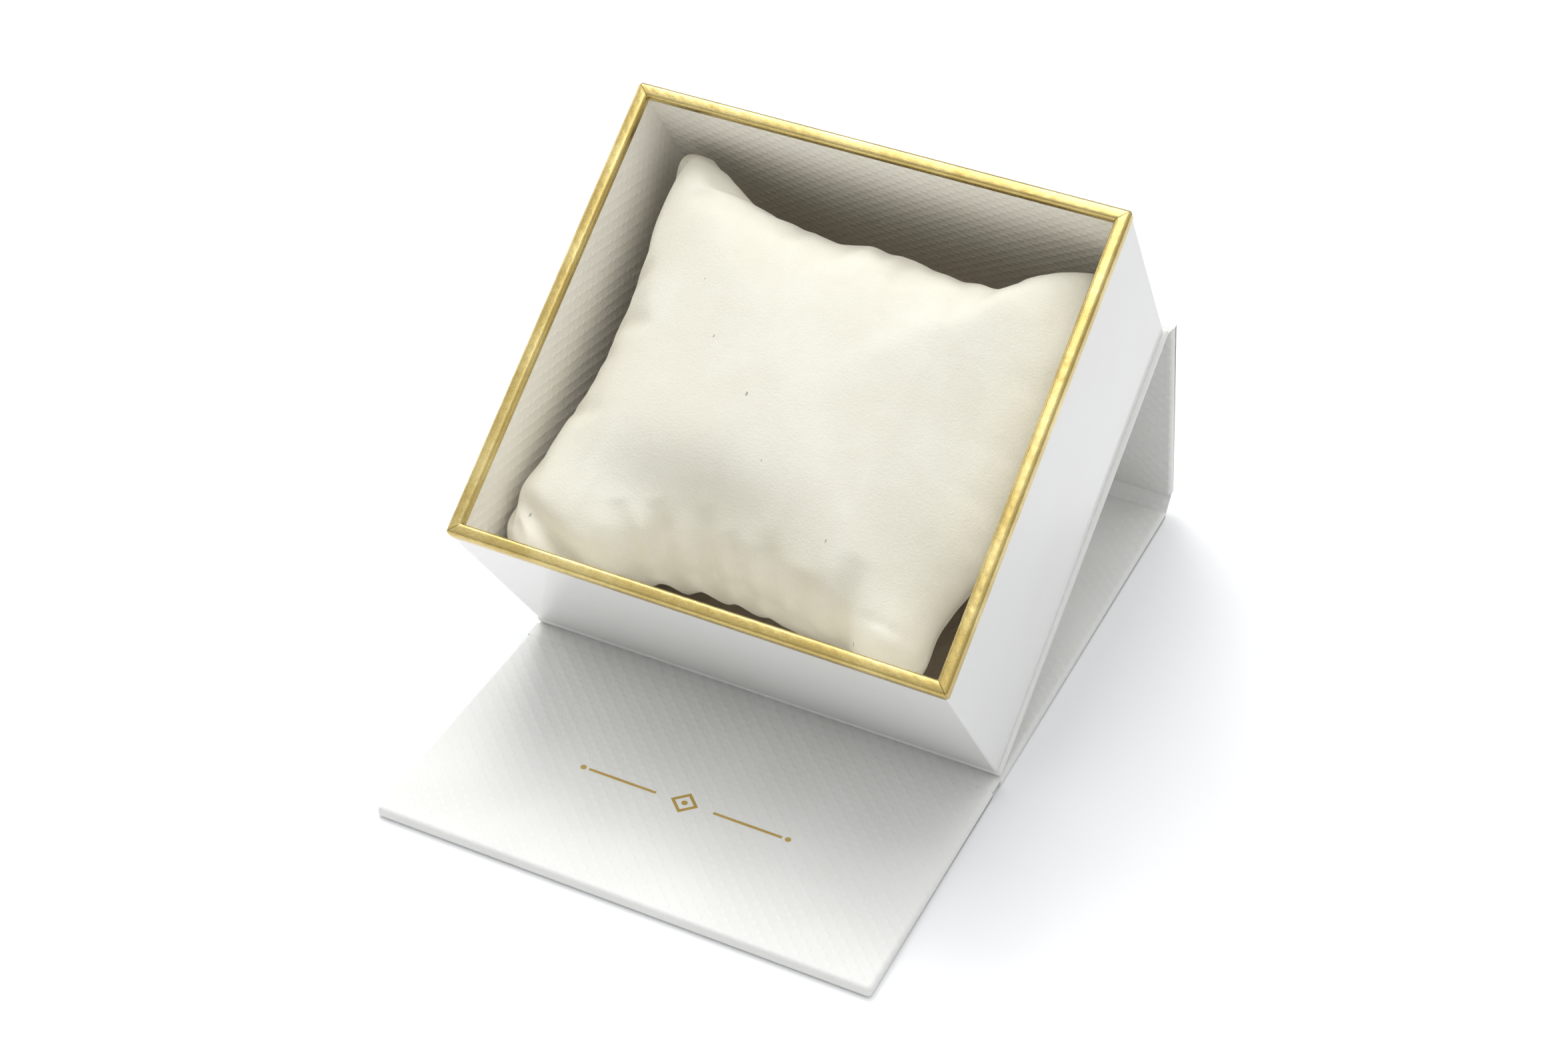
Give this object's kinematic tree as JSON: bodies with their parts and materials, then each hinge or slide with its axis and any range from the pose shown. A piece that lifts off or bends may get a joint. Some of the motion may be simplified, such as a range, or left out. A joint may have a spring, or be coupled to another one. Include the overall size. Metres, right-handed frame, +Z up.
{
  "type": "jewelry gift box",
  "caption": "Rigid jewellery gift box with a gilt-edged cushion tray on a wrap-around card cover, folded back into its easel display pose",
  "frame": {"origin": "middle of the whole object's footprint on the table, in the display pose", "axes": "+X across the box to its right, +Y from the flap to the spine, +Z up"},
  "size_m": [0.092, 0.1462, 0.0958],
  "materials": {
    "greyboard": "matt grey chipboard",
    "embossed_paper": "white paper embossed with small oblong dots, satin",
    "gloss_paper": "white coated paper, semi-gloss",
    "gold_foil": "gold metallised paper, hammered emboss, bright",
    "velvet": "cream short-pile velvet",
    "filling": "white fibre wadding",
    "magnet": "nickel-plated"
  },
  "bodies": {
    "lid": {"lid_board": "greyboard", "lid_outer_wrap": "embossed_paper", "lid_liner": "embossed_paper"},
    "heel_strip": {"heel_strip_paper": "embossed_paper"},
    "spine": {"spine_board": "greyboard", "spine_outer_wrap": "embossed_paper", "spine_liner": "embossed_paper"},
    "back_strip": {"back_strip_paper": "embossed_paper"},
    "tray": {"base_board": "greyboard", "base_outer_wrap": "embossed_paper", "base_liner": "embossed_paper", "tray_magnets": "magnet", "tray_front_board": "greyboard", "tray_back_board": "greyboard", "tray_left_board": "greyboard", "tray_right_board": "greyboard", "tray_front_liner": "embossed_paper", "tray_back_liner": "embossed_paper", "tray_left_liner": "embossed_paper", "tray_right_liner": "embossed_paper", "gilt_edge_front": "gold_foil", "gilt_edge_back": "gold_foil", "gilt_edge_left": "gold_foil", "gilt_edge_right": "gold_foil", "tray_outer_wrap": "gloss_paper", "tray_floor_board": "greyboard", "tray_floor_liner": "embossed_paper"},
    "groove_strip": {"groove_strip_paper": "embossed_paper"},
    "flap": {"flap_magnets": "magnet", "flap_foil_ornament": "gold_foil", "flap_board": "greyboard", "flap_outer_wrap": "embossed_paper", "flap_liner": "embossed_paper"},
    "cushion": {"cushion_cover": "velvet", "cushion_filling": "filling"}
  },
  "joints": [
    {"name": "lid_to_heel_crease", "type": "hinge", "parent": "lid", "child": "heel_strip", "pos_m": [0, 0.06946, 0.0022], "axis": [-1, 0, 0], "range_deg": [0, 98.85]},
    {"name": "heel_to_spine_crease", "type": "hinge", "parent": "heel_strip", "child": "spine", "pos_m": [0, 0.07129, 0.0047], "axis": [-1, 0, 0], "range_deg": [0, 98.85]},
    {"name": "spine_to_back_crease", "type": "hinge", "parent": "spine", "child": "back_strip", "pos_m": [0, 0.05587, 0.05302], "axis": [-1, 0, 0], "range_deg": [0, 99.36]},
    {"name": "back_to_base_crease", "type": "hinge", "parent": "back_strip", "child": "tray", "pos_m": [0, 0.05292, 0.05397], "axis": [-1, 0, 0], "range_deg": [0, 99.36]},
    {"name": "lid_to_groove_crease", "type": "hinge", "parent": "lid", "child": "groove_strip", "pos_m": [0, -0.0179, 0.0022], "axis": [1, 0, 0], "range_deg": [0, 45]},
    {"name": "groove_to_flap_crease", "type": "hinge", "parent": "groove_strip", "child": "flap", "pos_m": [0, -0.021, 0.0022], "axis": [1, 0, 0], "range_deg": [0, 45]},
    {"name": "cushion_lift", "type": "slide", "parent": "tray", "child": "cushion", "axis": [0, 0.5937, -0.8047], "range_m": [-0.06, 0]}
  ]
}
